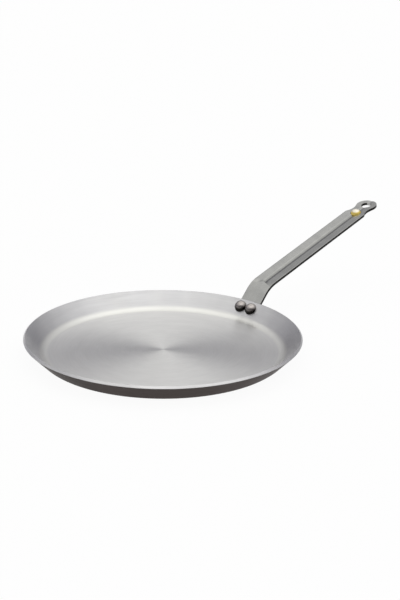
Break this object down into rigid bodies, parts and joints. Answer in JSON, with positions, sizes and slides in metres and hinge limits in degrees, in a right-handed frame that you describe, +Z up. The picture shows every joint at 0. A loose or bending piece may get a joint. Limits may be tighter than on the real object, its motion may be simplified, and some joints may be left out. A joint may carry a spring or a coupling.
{
  "type": "crepe pan",
  "caption": "Flat round pan with a low sloping wall and a long folded strip handle that ends in a hanging eye, for thin pancakes.",
  "frame": {"origin": "centre of the dish's underside, on the surface that the pan stands on", "axes": "+Z up out of the dish, +X along the handle away from the dish, +Y to the handle's left seen from the dish"},
  "size_m": [0.4363, 0.2398, 0.0764],
  "materials": {
    "pan_steel": "brushed in circles",
    "handle_steel": "satin",
    "rivet_steel": "polished",
    "badge_brass": "polished"
  },
  "bodies": {
    "root": {"pan_body": "pan_steel", "handle": "handle_steel", "rivet_left": "rivet_steel", "rivet_right": "rivet_steel", "badge": "badge_brass"}
  },
  "joints": []
}
